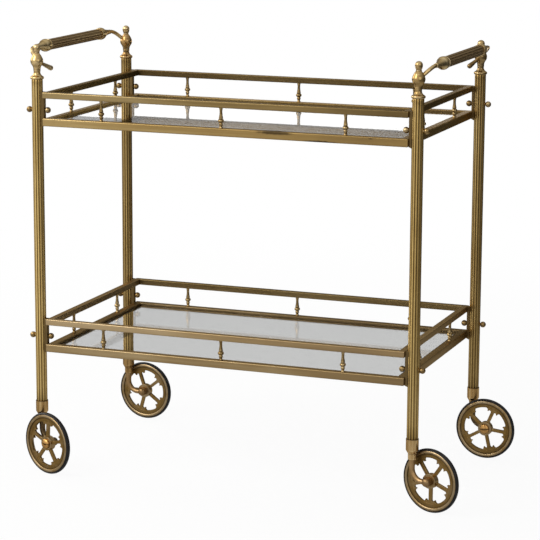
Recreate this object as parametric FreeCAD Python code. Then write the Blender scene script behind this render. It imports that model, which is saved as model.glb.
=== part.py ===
import FreeCAD, Part
import math
import os

os.makedirs("parts", exist_ok=True)
vec = FreeCAD.Vector

# Two-tier bar cart. Millimetres, X along the cart, -Y is the front, Z up from the floor.
# The origin is on the floor, in the middle between the four legs.

# Clearances
running_fit = 0.05            # radial room of a piece that turns in its hole
piece_fit = 0.05              # radial room of a fixed piece in its hole
bolt_fit = 0.25               # radial room of the tray bolts in their holes
face_gap = 0.4                # room between faces that slide past each other

# Legs: reeded tubes
leg_spacing_x = 677.0
leg_spacing_y = 368.0
leg_length = 563.0
leg_diameter = 19.4
leg_bore = 14.0
leg_reeds = 12
leg_reed_depth = 0.9
spigot_length = 15.0          # depth of the finials and sockets in the leg bores

# Trays: an upper rail on spindles over a frame that carries the glass
lower_frame_rise = 89.4       # lower frame's underside above the lower ends of the legs
upper_rail_drop = 21.2        # upper rail's top below the upper ends of the legs
gallery_height = 34.0         # from the frame's top to the rail's underside
rail_width = 11.0
rail_height = 10.5
frame_width = 13.4
frame_height = 13.4
tube_wall = 1.2
rail_setback = 0.4            # front rail faces behind the legs' front
post_thickness = 4.2
post_width = 8.0
post_foot = 6.0               # slanted lower end under the frame

# Glass and the ledges that it lies on
glass_thickness = 5.0
glass_recess = 4.2            # glass top below the frame's top
glass_edge_gap = 0.4
ledge_width = 6.0
ledge_thickness = 1.6

# Spindles, heights from the frame's top
spindle_base_diameter = 6.4
spindle_foot_diameter = 4.3
spindle_foot_height = 3.3
spindle_ball_bulge = 1.0
spindle_neck_diameter = 5.0
spindle_neck_height = 8.9
spindle_bead_bulge = 2.4
spindle_waist_diameter = 5.8
spindle_waist_height = 15.2
spindle_shoulder_diameter = 7.2
spindle_shoulder_height = 16.8
spindle_stem_diameter = 4.8
spindle_stem_height = 27.0
spindle_stem_hollow = 0.3
spindle_top_diameter = 6.4
long_side_spindles = 3
long_side_spacing = 217.5
short_side_spindles = 2

# Ball-headed bolts that hold the trays to the legs
bolt_height = 13.5            # above the frame's top
bolt_diameter = 5.0
bolt_ball_diameter = 10.6
bolt_thread_depth = 6.5       # shank inside the ball nut

# Finials, heights from the leg tops
finial_seat_diameter = 21.0
finial_flange_bulge = 1.2
finial_flange_height = 4.6
finial_flare_hollow = 2.2
finial_neck_diameter = 12.2
finial_neck_height = 14.8
finial_neck_hollow = 0.9
finial_shoulder_diameter = 17.2
finial_ball_diameter = 21.8
finial_ball_height = 30.6
finial_crown_diameter = 19.0
finial_crown_bulge = 0.4
finial_throat_diameter = 8.8
finial_top_height = 44.0

# Tip knobs on the finials
knob_collar_diameter = 9.6
knob_collar_height = 1.4
knob_neck_diameter = 8.6
knob_ball_diameter = 12.8
knob_ball_height = 9.2        # above the finial's top
knob_flank_bulge = 0.5
knob_stem_diameter = 4.0
knob_stem_length = 7.0

# Handles: a reeded grip between two ferrules, and bent rods into the finial balls
grip_offset = 19.0            # outward from the line of the finials
grip_rise = 19.4              # above the finial balls
grip_diameter = 19.0
grip_bore = 13.0
grip_reeds = 12
grip_reed_depth = 0.9
ferrule_length = 50.0
ferrule_lip_diameter = 20.8
ferrule_lip_length = 2.4
ferrule_groove_diameter = 19.6
ferrule_bulb_bulge = 1.9
ferrule_waist_diameter = 16.6
ferrule_waist_place = 18.0    # end of the bulb, from the grip
ferrule_tail_hollow = 0.9
ferrule_end_diameter = 8.0
ferrule_spigot_length = 12.0
rod_diameter = 6.5
rod_seat = 12.0               # rod end inside the ferrule
rod_straight = 3.0
rod_bend_radius = 20.0
rod_bend_angle = 60.0
rod_past_centre = 4.0         # rod end beyond the middle of the finial ball

# Clamp levers in the finial balls
lever_inward = 12.0           # lever end from the ball's middle, towards the other end of the cart
lever_along = 28.0            # along the grip
lever_drop = 14.0
lever_stem_diameter = 5.2
lever_end_diameter = 8.8

# Casters: sockets, arms, wheels, tyres and axle screws
tyre_diameter = 108.8
tyre_depth = 3.0
tyre_width = 9.8
tyre_crown = 1.4              # fall from the crown to the tyre's edges
axle_to_leg = 69.9            # from the axle up to the lower ends of the legs
trail_length = 29.0           # axle behind the swivel axis
socket_collar_diameter = 21.4
socket_collar_height = 19.0
socket_taper_height = 6.3
socket_nose_diameter = 14.0
socket_nose_height = 9.7
stem_diameter = 8.0
stem_length = 37.0
stem_end_gap = 1.0
arm_top_diameter = 10.4
arm_end_diameter = 8.6
arm_bend_radius = 20.0
boss_diameter = 15.5
boss_outer = 5.6              # boss from the swivel plane, away from the wheel
boss_inner = 6.8              # boss from the swivel plane, towards the wheel
hub_diameter = 25.0
hub_inner = 7.0               # hub from the wheel's middle, towards the arm
hub_outer = 4.2               # hub from the wheel's middle, away from the arm
rim_depth = 12.0
rim_bead_depth = 5.2
rim_width = 7.4
rim_bead_width = 9.2
web_width = 5.6
spoke_count = 5
spoke_width = 5.6
cusp_radius = 2.6             # scallop between a spoke and its cusp
cusp_from_rim = 7.0           # cusp tips inside the rim
cusp_tip = 0.8                # flat at the tip of a cusp
cusp_foot = 4.4               # rim end of a cusp, further from the spoke than its tip
cusp_hollow = 1.1
axle_diameter = 6.0
axle_head_diameter = 17.0
axle_head_height = 3.8
axle_head_rim = 1.2
axle_slot_width = 1.8
axle_slot_depth = 1.4

# Casters at rest: leg, swivel angle of the trail from +X, side of the wheel, turn of the wheel
casters = [
    ("front_left", -1, -1, -21.5, -1, 33.0),
    ("front_right", 1, -1, -18.0, 1, 0.0),
    ("rear_left", -1, 1, -6.5, 1, -16.0),
    ("rear_right", 1, 1, -3.0, -1, 13.0),
]

# Levels and places worked out from the sizes above
half_x = leg_spacing_x / 2
half_y = leg_spacing_y / 2
axle_height = tyre_diameter / 2
leg_foot = axle_height + axle_to_leg
leg_top = leg_foot + leg_length
ball_level = leg_top + finial_ball_height
tray_half_x = half_x - leg_diameter / 2 - post_thickness
tray_half_y = half_y + leg_diameter / 2 - rail_setback
tray_height = frame_height + gallery_height + rail_height
tray_bases = {"lower": leg_foot + lower_frame_rise, "upper": leg_top - upper_rail_drop - tray_height}
frame_tops = {name: base + frame_height for name, base in tray_bases.items()}
socket_length = socket_collar_height + socket_taper_height + socket_nose_height
socket_foot = leg_foot - socket_length
wheel_plane = boss_inner + face_gap + hub_inner
corners = [(name, side_x, side_y) for name, side_x, side_y, *_ in casters]
up = vec(0, 0, 1)
origin = vec(0, 0, 0)


def bulge_point(here, there, bulge):
    # Middle of an arc that stands out by the bulge, to the right of the way from here to there in XZ
    way = (there - here).normalize()
    return (here + there) / 2 + vec(way.z, 0, -way.x) * bulge


def outline(start, *steps):
    # Closed wire in the XZ plane. A step of two numbers is a line to that point. One of three is an
    # arc, its bulge first, and one of four is an arc through its first point.
    edges = []
    here = vec(start[0], 0, start[1])
    for step in steps + (start,):
        there = vec(step[-2], 0, step[-1])
        if len(step) == 2:
            edge = Part.LineSegment(here, there)
        elif len(step) == 3:
            edge = Part.Arc(here, bulge_point(here, there, step[0]), there)
        else:
            edge = Part.Arc(here, vec(step[0], 0, step[1]), there)
        edges.append(edge.toShape())
        here = there
    return Part.Wire(edges)


def turned(start, *steps):
    # Solid of revolution about Z from an outline of radius and height
    return Part.Face(outline(start, *steps)).revolve(origin, up, 360)


def cylinder(diameter, start, end):
    # Round bar between two points
    along = end - start
    return Part.makeCylinder(diameter / 2, along.Length, start, along)


def aimed(shape, place, direction):
    # Moves a shape made along +Z so that it starts at a place and points in a direction
    moved = shape.copy()
    moved.Placement = FreeCAD.Placement(place, FreeCAD.Rotation(up, direction))
    return moved


def reeded_tube(diameter, bore, reeds, depth, length):
    # Tube along Z whose outside is a ring of convex reeds
    crest = diameter / 2
    valley = crest - depth
    step = 2 * math.pi / reeds
    edges = []
    for number in range(reeds):
        angle = number * step
        ends = [vec(valley * math.cos(a), valley * math.sin(a), 0) for a in (angle - step / 2, angle + step / 2)]
        middle = vec(crest * math.cos(angle), crest * math.sin(angle), 0)
        edges.append(Part.Arc(ends[0], middle, ends[1]).toShape())
    body = Part.Face(Part.Wire(edges)).extrude(up * length)
    return body.cut(Part.makeCylinder(bore / 2, length))


def mitred_bars(sections, reach_x, reach_y, depth):
    # Four bars round a rectangle, cut at 45 degrees where they meet. Each section is an outline of
    # inset from the outer face and height, and the second one, where given, is the bar's hollow.
    bars = {}
    signs = {"front": (0, -1), "right": (1, 0), "rear": (0, 1), "left": (-1, 0)}
    for side, (sign_x, sign_y) in signs.items():
        outward = vec(sign_x, sign_y, 0)
        along = up.cross(outward)
        half = reach_y if sign_x else reach_x
        corner = outward * (reach_x if sign_x else reach_y) - along * half
        solids = []
        for section in sections:
            points = [corner - outward * inset + up * height for inset, height in section]
            face = Part.Face(Part.makePolygon(points + points[:1]))
            solids.append(face.extrude(along * 2 * half))
        bar = solids[0]
        for hollow in solids[1:]:
            bar = bar.cut(hollow)
        low = min(height for inset, height in sections[0])
        high = max(height for inset, height in sections[0])
        plan = [corner, corner + along * 2 * half]
        plan.append(plan[1] - along * depth - outward * depth)
        plan.append(plan[0] + along * depth - outward * depth)
        plan = [point + up * low for point in plan]
        room = Part.Face(Part.makePolygon(plan + plan[:1])).extrude(up * (high - low))
        bars[side] = bar.common(room)
    return bars


def box_section(inset, base, width, height):
    return [(inset, base), (inset + width, base), (inset + width, base + height), (inset, base + height)]


def tube_sections(base, width, height):
    inner = box_section(tube_wall, base + tube_wall, width - 2 * tube_wall, height - 2 * tube_wall)
    return [box_section(0, base, width, height), inner]


def save(name, *shapes):
    solids = [solid for shape in shapes for solid in shape.Solids]
    if len(solids) != len(shapes):
        raise ValueError("wrong number of solids: " + name)
    piece = solids[0] if len(solids) == 1 else Part.makeCompound(solids)
    if not piece.isValid():
        raise ValueError("bad shape: " + name)
    piece.exportStep(os.path.join("parts", name + ".step"))
    return piece


# Legs
bolt_levels = [frame_tops[tray] + bolt_height for tray in ("lower", "upper")]
for name, side_x, side_y in corners:
    leg = reeded_tube(leg_diameter, leg_bore, leg_reeds, leg_reed_depth, leg_length)
    leg.translate(vec(side_x * half_x, side_y * half_y, leg_foot))
    for level in bolt_levels:
        middle = vec(side_x * half_x, side_y * half_y, level)
        reach = vec(leg_diameter, 0, 0)
        leg = leg.cut(cylinder(bolt_diameter + 2 * bolt_fit, middle - reach, middle + reach))
    save(name + "_leg", leg)


# Tray rails, frames, ledges and glass
ledges = []
for tray, base in tray_bases.items():
    rail_base = frame_tops[tray] + gallery_height
    rails = mitred_bars(tube_sections(rail_base, rail_width, rail_height), tray_half_x, tray_half_y, rail_width)
    for side, bar in rails.items():
        save(tray + "_tray_" + side + "_rail", bar)
    frames = mitred_bars(tube_sections(base, frame_width, frame_height), tray_half_x, tray_half_y, frame_width)
    for side, bar in frames.items():
        save(tray + "_tray_" + side + "_frame", bar)
    glass_top = frame_tops[tray] - glass_recess
    ledge_base = glass_top - glass_thickness - ledge_thickness
    inner_x = tray_half_x - frame_width
    inner_y = tray_half_y - frame_width
    ledge_section = box_section(0, ledge_base, ledge_width, ledge_thickness)
    ledges += mitred_bars([ledge_section], inner_x, inner_y, ledge_width).values()
    pane_x = inner_x - glass_edge_gap
    pane_y = inner_y - glass_edge_gap
    corner = vec(-pane_x, -pane_y, glass_top - glass_thickness)
    save(tray + "_glass", Part.makeBox(2 * pane_x, 2 * pane_y, glass_thickness, corner))
save("glass_ledges", *ledges)


# Spindles under the rails: base, small ball, bead, shoulder and slim stem
def spindle():
    foot = spindle_foot_diameter / 2
    neck = spindle_neck_diameter / 2
    waist = spindle_waist_diameter / 2
    stem = spindle_stem_diameter / 2
    top = spindle_top_diameter / 2
    return turned(
        (0, 0),
        (spindle_base_diameter / 2, 0),
        (foot, spindle_foot_height),
        (spindle_ball_bulge, neck, spindle_neck_height),
        (spindle_bead_bulge, waist, spindle_waist_height),
        (spindle_shoulder_diameter / 2, spindle_shoulder_height),
        (-spindle_stem_hollow, stem, spindle_stem_height),
        (-spindle_stem_hollow, top, gallery_height),
        (0, gallery_height),
    )


short_step = leg_spacing_y / short_side_spindles
long_places = [(number - (long_side_spindles - 1) / 2) * long_side_spacing for number in range(long_side_spindles)]
short_places = [(number + 0.5) * short_step - half_y for number in range(short_side_spindles)]
line_x = tray_half_x - rail_width / 2
line_y = tray_half_y - rail_width / 2
spindle_places = [(x, side * line_y) for side in (-1, 1) for x in long_places]
spindle_places += [(side * line_x, y) for side in (-1, 1) for y in short_places]
for tray, level in frame_tops.items():
    spindles = []
    for x, y in spindle_places:
        piece = spindle()
        piece.translate(vec(x, y, level))
        spindles.append(piece)
    save(tray + "_tray_spindles", *spindles)


# Corner posts between the trays and the legs
def corner_post(side_x, side_y, base):
    inner = tray_half_x
    outer = half_x
    top = base + tray_height
    profile = outline((inner, base), (outer, base - post_foot), (outer, top), (inner, top))
    post = Part.Face(profile).extrude(vec(0, post_width, 0))
    post.translate(vec(0, -post_width / 2, 0))
    room = leg_diameter + 2 * piece_fit
    post = post.cut(cylinder(room, vec(half_x, 0, base - leg_diameter), vec(half_x, 0, top + leg_diameter)))
    level = base + frame_height + bolt_height
    hole = cylinder(bolt_diameter + 2 * bolt_fit, vec(inner - post_width, 0, level), vec(outer, 0, level))
    post = post.cut(hole)
    if side_x < 0:
        post.rotate(origin, up, 180)
    post.translate(vec(0, side_y * half_y, 0))
    return post


save("corner_posts", *[corner_post(x, y, base) for base in tray_bases.values() for name, x, y in corners])


# Ball-headed bolts and ball nuts, turned along the bolt's axis about the middle of the ball
def ball_bolt(side_x, side_y, level):
    ball = bolt_ball_diameter / 2
    shank = bolt_diameter / 2
    head_place = leg_diameter / 2 + piece_fit + ball
    reach = head_place + leg_diameter / 2 + post_thickness + bolt_thread_depth
    neck = -math.sqrt(ball ** 2 - shank ** 2)
    bolt = turned((0, -reach), (shank, -reach), (shank, neck), (ball, 0, 0, ball))
    place = vec(side_x * (half_x + head_place), side_y * half_y, level)
    return aimed(bolt, place, vec(side_x, 0, 0))


def ball_nut(side_x, side_y, level):
    ball = bolt_ball_diameter / 2
    hole = bolt_diameter / 2 + bolt_fit
    mouth = -math.sqrt(ball ** 2 - hole ** 2)
    hole_end = bolt_thread_depth + bolt_fit - piece_fit - ball
    nut = turned((0, hole_end), (hole, hole_end), (hole, mouth), (ball, 0, 0, ball))
    place = vec(side_x * (tray_half_x - piece_fit - ball), side_y * half_y, level)
    return aimed(nut, place, vec(-side_x, 0, 0))


save("tray_bolts", *[ball_bolt(x, y, level) for level in bolt_levels for name, x, y in corners])
save("ball_nuts", *[ball_nut(x, y, level) for level in bolt_levels for name, x, y in corners])


# Handle rods: out of the ferrule along the grip, round one bend, and straight into the finial ball
bend = math.radians(rod_bend_angle)
rod_fall = math.hypot(grip_offset, grip_rise)
rod_lower = (rod_fall - rod_bend_radius * (1 - math.cos(bend))) / math.sin(bend)
rod_run = rod_straight + rod_bend_radius * math.sin(bend) + rod_lower * math.cos(bend)
ferrule_end = half_y - rod_run
grip_end = ferrule_end - ferrule_length
grip_level = ball_level + grip_rise


def rod_frame(side_x, side_y):
    # Start of the free rod, its first direction, and the direction in which it bends
    start = vec(side_x * (half_x + grip_offset), side_y * ferrule_end, grip_level)
    along = vec(0, side_y, 0)
    down = vec(-side_x * grip_offset, 0, -grip_rise)
    return start, along, down / down.Length


def handle_rod(side_x, side_y):
    start, along, down = rod_frame(side_x, side_y)
    first = start - along * rod_seat
    bend_start = start + along * rod_straight
    half = bend / 2
    bend_middle = bend_start + along * rod_bend_radius * math.sin(half)
    bend_middle += down * rod_bend_radius * (1 - math.cos(half))
    bend_end = bend_start + along * rod_bend_radius * math.sin(bend)
    bend_end += down * rod_bend_radius * (1 - math.cos(bend))
    entry = along * math.cos(bend) + down * math.sin(bend)
    last = bend_end + entry * (rod_lower + rod_past_centre)
    path = Part.Wire([
        Part.LineSegment(first, bend_start).toShape(),
        Part.Arc(bend_start, bend_middle, bend_end).toShape(),
        Part.LineSegment(bend_end, last).toShape(),
    ])
    ring = Part.Wire(Part.makeCircle(rod_diameter / 2, first, along))
    return path.makePipeShell([ring], True, False), entry


# Finials, with the cross holes for the rods and levers
def lever_direction(side_x, side_y):
    return vec(-side_x * lever_inward, -side_y * lever_along, -lever_drop).normalize()


def finial_blank():
    spigot = leg_bore / 2 - piece_fit
    seat = finial_seat_diameter / 2
    neck = finial_neck_diameter / 2
    ball = finial_ball_diameter / 2
    shoulder = finial_shoulder_diameter / 2
    crown = finial_crown_diameter / 2
    shoulder_height = finial_ball_height - math.sqrt(ball ** 2 - shoulder ** 2)
    crown_height = finial_ball_height + math.sqrt(ball ** 2 - crown ** 2)
    return turned(
        (0, -spigot_length),
        (spigot, -spigot_length),
        (spigot, 0),
        (seat, 0),
        (finial_flange_bulge, seat, finial_flange_height),
        (-finial_flare_hollow, neck, finial_neck_height),
        (-finial_neck_hollow, shoulder, shoulder_height),
        (ball, finial_ball_height, crown, crown_height),
        (finial_crown_bulge, finial_throat_diameter / 2, finial_top_height),
        (0, finial_top_height),
    )


def clamp_lever(side_x, side_y):
    stem = lever_stem_diameter / 2
    end = lever_end_diameter / 2
    seat = rod_diameter / 2 + 2 * piece_fit
    reach = math.sqrt(lever_inward ** 2 + lever_along ** 2 + lever_drop ** 2)
    lever = turned(
        (0, seat),
        (stem, seat),
        (stem, finial_ball_diameter / 2),
        (end, reach),
        (end * math.sqrt(0.5), reach + end * math.sqrt(0.5), 0, reach + end),
    )
    place = vec(side_x * half_x, side_y * half_y, ball_level)
    return aimed(lever, place, lever_direction(side_x, side_y))


def tip_knob():
    collar = knob_collar_diameter / 2
    neck = knob_neck_diameter / 2
    ball = knob_ball_diameter / 2
    stem = knob_stem_diameter / 2
    slope = math.sqrt(0.5)
    return turned(
        (0, -knob_stem_length),
        (stem, -knob_stem_length),
        (stem, 0),
        (collar, 0),
        (collar, knob_collar_height),
        (neck, knob_collar_height),
        (knob_flank_bulge, ball, knob_ball_height),
        (ball * slope, knob_ball_height + ball * slope, 0, knob_ball_height + ball),
    )


rods = {-1: [], 1: []}
levers = []
knobs = []
for name, side_x, side_y in corners:
    rod, entry = handle_rod(side_x, side_y)
    rods[side_x].append(rod)
    top = vec(side_x * half_x, side_y * half_y, leg_top)
    ball = vec(side_x * half_x, side_y * half_y, ball_level)
    finial = finial_blank()
    finial.translate(top)
    rod_hole = cylinder(rod_diameter + 2 * piece_fit, ball - entry * finial_ball_diameter,
                        ball + entry * (rod_past_centre + piece_fit))
    lever_hole = cylinder(lever_stem_diameter + 2 * piece_fit, ball,
                          ball + lever_direction(side_x, side_y) * finial_ball_diameter)
    knob_seat = top + up * finial_top_height
    knob_hole = cylinder(knob_stem_diameter + 2 * piece_fit, knob_seat,
                         knob_seat - up * (knob_stem_length + piece_fit))
    for hole in (rod_hole, lever_hole, knob_hole):
        finial = finial.cut(hole)
    save(name + "_finial", finial)
    levers.append(clamp_lever(side_x, side_y))
    knob = tip_knob()
    knob.translate(knob_seat)
    knobs.append(knob)
save("clamp_levers", *levers)
save("finial_knobs", *knobs)


# Ferrules and grips of the handles
def ferrule(side_x, side_y):
    spigot = grip_bore / 2 - piece_fit
    lip = ferrule_lip_diameter / 2
    blank = turned(
        (0, -ferrule_spigot_length),
        (spigot, -ferrule_spigot_length),
        (spigot, 0),
        (lip, 0),
        (lip, ferrule_lip_length),
        (ferrule_groove_diameter / 2, ferrule_lip_length),
        (ferrule_bulb_bulge, ferrule_waist_diameter / 2, ferrule_waist_place),
        (-ferrule_tail_hollow, ferrule_end_diameter / 2, ferrule_length),
        (0, ferrule_length),
    )
    hole_start = ferrule_length - rod_seat - piece_fit
    hole = cylinder(rod_diameter + 2 * piece_fit, vec(0, 0, hole_start), vec(0, 0, 2 * ferrule_length))
    place = vec(side_x * (half_x + grip_offset), side_y * grip_end, grip_level)
    return aimed(blank.cut(hole), place, vec(0, side_y, 0))


for side, side_x in (("left", -1), ("right", 1)):
    save(side + "_handle_rods", *rods[side_x])
    save(side + "_handle_ferrules", *[ferrule(side_x, side_y) for side_y in (-1, 1)])
    grip = reeded_tube(grip_diameter, grip_bore, grip_reeds, grip_reed_depth, 2 * grip_end)
    grip_start = vec(side_x * (half_x + grip_offset), -grip_end, grip_level)
    save(side + "_handle_grip", aimed(grip, grip_start, vec(0, 1, 0)))


# Casters, made at the origin with the trail along +X
def caster_socket():
    spigot = leg_bore / 2 - piece_fit
    collar = socket_collar_diameter / 2
    nose = socket_nose_diameter / 2
    taper_top = leg_foot - socket_collar_height
    blank = turned(
        (0, socket_foot),
        (nose, socket_foot),
        (nose, taper_top - socket_taper_height),
        (collar, taper_top),
        (collar, leg_foot),
        (spigot, leg_foot),
        (spigot, leg_foot + spigot_length),
        (0, leg_foot + spigot_length),
    )
    bore_top = socket_foot - face_gap + stem_length + stem_end_gap
    return blank.cut(cylinder(stem_diameter + 2 * running_fit, vec(0, 0, 0), vec(0, 0, bore_top)))


def caster_arm(side):
    arm_top = vec(0, 0, socket_foot - face_gap)
    bend_start = vec(0, 0, axle_height + arm_bend_radius)
    inset = arm_bend_radius * (1 - math.sqrt(0.5))
    bend_middle = vec(inset, 0, axle_height + inset)
    bend_end = vec(arm_bend_radius, 0, axle_height)
    hub = vec(trail_length, 0, axle_height)
    path = Part.Wire([
        Part.LineSegment(arm_top, bend_start).toShape(),
        Part.Arc(bend_start, bend_middle, bend_end).toShape(),
        Part.LineSegment(bend_end, hub).toShape(),
    ])
    rings = [
        Part.Wire(Part.makeCircle(arm_top_diameter / 2, arm_top, up)),
        Part.Wire(Part.makeCircle(arm_end_diameter / 2, hub, vec(1, 0, 0))),
    ]
    arm = path.makePipeShell(rings, True, False)
    across = vec(0, side, 0)
    arm = arm.fuse(cylinder(boss_diameter, hub - across * boss_outer, hub + across * boss_inner))
    arm = arm.fuse(cylinder(stem_diameter, arm_top, arm_top + up * stem_length))
    return arm.cut(cylinder(axle_diameter + 2 * piece_fit, hub - across * trail_length, hub + across * trail_length))


def axle_screw(side):
    head = axle_head_diameter / 2
    shank = axle_diameter / 2
    hub_face = wheel_plane + hub_outer + face_gap
    dome = axle_head_height - axle_head_rim
    dome_radius = (head ** 2 + dome ** 2) / (2 * dome)
    half_chord = math.hypot(head, dome) / 2
    screw = turned(
        (0, -boss_outer),
        (shank, -boss_outer),
        (shank, hub_face),
        (head, hub_face),
        (head, hub_face + axle_head_rim),
        (dome_radius - math.sqrt(dome_radius ** 2 - half_chord ** 2), 0, hub_face + axle_head_height),
    )
    slot = Part.makeBox(axle_head_diameter, axle_slot_width, axle_head_height)
    slot.translate(vec(-head, -axle_slot_width / 2, hub_face + axle_head_height - axle_slot_depth))
    return aimed(screw.cut(slot), vec(trail_length, 0, axle_height), vec(0, side, 0))


rim_outer = tyre_diameter / 2 - tyre_depth - piece_fit
rim_inner = rim_outer - rim_depth


def spoke_window(angle):
    # Opening between the spoke at this angle and the next one, with a cusp beside each spoke
    step = 2 * math.pi / spoke_count
    edge = spoke_width / 2
    tip_height = rim_inner - cusp_from_rim
    tip_side = edge + 2 * cusp_radius
    foot_side = tip_side + cusp_tip + cusp_foot
    foot_height = math.sqrt(rim_inner ** 2 - foot_side ** 2)
    hub_height = math.sqrt((hub_diameter / 2) ** 2 - edge ** 2)
    half_side = [
        (edge, hub_height),
        (edge, tip_height),
        (edge + cusp_radius, tip_height + cusp_radius),
        (tip_side, tip_height),
        (tip_side + cusp_tip, tip_height),
        (foot_side, foot_height),
    ]

    def place(spoke, side, height):
        c = math.cos(spoke)
        s = math.sin(spoke)
        return vec(height * c - side * s, 0, height * s + side * c)

    first = [place(angle, side, height) for side, height in half_side]
    second = [place(angle + step, -side, height) for side, height in half_side]
    middle = angle + step / 2
    edges = [
        Part.LineSegment(first[0], first[1]),
        Part.Arc(first[1], first[2], first[3]),
        Part.LineSegment(first[3], first[4]),
        Part.Arc(first[4], bulge_point(first[4], first[5], cusp_hollow), first[5]),
        Part.Arc(first[5], place(middle, 0, rim_inner), second[5]),
        Part.Arc(second[5], bulge_point(second[5], second[4], cusp_hollow), second[4]),
        Part.LineSegment(second[4], second[3]),
        Part.Arc(second[3], second[2], second[1]),
        Part.LineSegment(second[1], second[0]),
        Part.Arc(second[0], place(middle, 0, hub_diameter / 2), first[0]),
    ]
    face = Part.Face(Part.Wire([edge.toShape() for edge in edges]))
    window = face.extrude(vec(0, 2 * web_width, 0))
    window.translate(vec(0, -web_width, 0))
    return window


def upright(shape):
    # Turns a shape made about Z so that its axis lies along Y
    return aimed(shape, origin, vec(0, 1, 0))


def spoked_wheel(side):
    # Wheel about the Y axis, whose arm is on the other side
    bead_line = rim_outer - rim_bead_depth
    bead_top = rim_bead_width / 2
    band = rim_width / 2
    rim = turned(
        (rim_inner, -band),
        (bead_line, -band),
        ((bead_line + rim_outer) / 2, -bead_top, rim_outer, -band),
        (rim_outer, band),
        ((bead_line + rim_outer) / 2, bead_top, bead_line, band),
        (rim_inner, band),
    )
    web = Part.makeCylinder((rim_inner + bead_line) / 2, web_width, vec(0, 0, -web_width / 2))
    wheel = upright(web)
    for number in range(spoke_count):
        wheel = wheel.cut(spoke_window(number * 2 * math.pi / spoke_count - math.pi / 2))
    across = vec(0, side, 0)
    hub = cylinder(hub_diameter, across * -hub_inner, across * hub_outer)
    wheel = wheel.fuse([upright(rim), hub])
    reach = across * hub_diameter
    return wheel.cut(cylinder(axle_diameter + 2 * running_fit, -reach, reach))


def rubber_tyre():
    inner = rim_outer + piece_fit
    edge = tyre_diameter / 2 - tyre_crown
    half = tyre_width / 2
    return upright(turned((inner, -half), (edge, -half), (tyre_diameter / 2, 0, edge, half), (inner, half)))


wheel_blanks = {side: spoked_wheel(side) for side in (-1, 1)}
tyre_blank = rubber_tyre()
for name, side_x, side_y, swivel, side, turn in casters:
    leg_place = vec(side_x * half_x, side_y * half_y, 0)
    axle = vec(trail_length, side * wheel_plane, axle_height)
    wheel = wheel_blanks[side].copy()
    wheel.rotate(origin, vec(0, 1, 0), -turn)
    wheel.translate(axle)
    tyre = tyre_blank.copy()
    tyre.translate(axle)
    pieces = {
        "_caster_socket": caster_socket(),
        "_caster_arm": caster_arm(side),
        "_axle_screw": axle_screw(side),
        "_wheel": wheel,
        "_tyre": tyre,
    }
    for ending, piece in pieces.items():
        piece.rotate(origin, up, swivel)
        piece.translate(leg_place)
        save(name + ending, piece)
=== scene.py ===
import math
import bmesh
import bpy
import numpy as np
from mathutils import Matrix, Vector


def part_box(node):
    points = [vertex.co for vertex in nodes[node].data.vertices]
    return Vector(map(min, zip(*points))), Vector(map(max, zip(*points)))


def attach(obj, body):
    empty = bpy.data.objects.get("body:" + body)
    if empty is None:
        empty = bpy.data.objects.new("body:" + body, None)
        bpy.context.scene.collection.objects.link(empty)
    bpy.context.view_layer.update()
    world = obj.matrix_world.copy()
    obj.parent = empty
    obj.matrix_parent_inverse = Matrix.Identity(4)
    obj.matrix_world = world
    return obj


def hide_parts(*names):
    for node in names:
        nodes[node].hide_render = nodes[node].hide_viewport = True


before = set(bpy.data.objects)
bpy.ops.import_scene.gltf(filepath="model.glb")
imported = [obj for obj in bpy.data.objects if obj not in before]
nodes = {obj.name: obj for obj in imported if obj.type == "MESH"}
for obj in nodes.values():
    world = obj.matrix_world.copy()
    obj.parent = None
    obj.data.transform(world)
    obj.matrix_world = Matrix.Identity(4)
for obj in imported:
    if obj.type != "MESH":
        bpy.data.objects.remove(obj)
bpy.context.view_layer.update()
scene = bpy.context.scene
scene.view_settings.view_transform = "Standard"


# Camera: turned to the right of the front and a little down, with a long lens
shot = {"azimuth": 20.6824, "elevation": 11.405, "roll": 0.2794, "lens": 152.29, "sensor": 36.0,
        "farthest": 100.0, "target": (0, 0, 0.40285), "aside": 0.0159, "lowered": 0.05444,
        "distance": 3.99256}


def aimCamera():
    turn = math.radians(shot["azimuth"])
    tilt = math.radians(shot["elevation"])
    right = Vector((math.cos(turn), math.sin(turn), 0))
    back = Vector((math.sin(turn) * math.cos(tilt), -math.cos(turn) * math.cos(tilt), math.sin(tilt)))
    upward = back.cross(right)
    lens = bpy.data.cameras.new("photoLens")
    lens.lens = shot["lens"]
    lens.sensor_width = shot["sensor"]
    lens.clip_end = shot["farthest"]
    camera = bpy.data.objects.new("photoCamera", lens)
    scene.collection.objects.link(camera)
    spot = Vector(shot["target"]) + right * shot["aside"] - upward * shot["lowered"] + back * shot["distance"]
    axes = Matrix((right, upward, back)).transposed() @ Matrix.Rotation(math.radians(shot["roll"]), 3, "Z")
    camera.matrix_world = Matrix.Translation(spot) @ axes.to_4x4()
    scene.camera = camera


aimCamera()
print("camera set")


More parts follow.
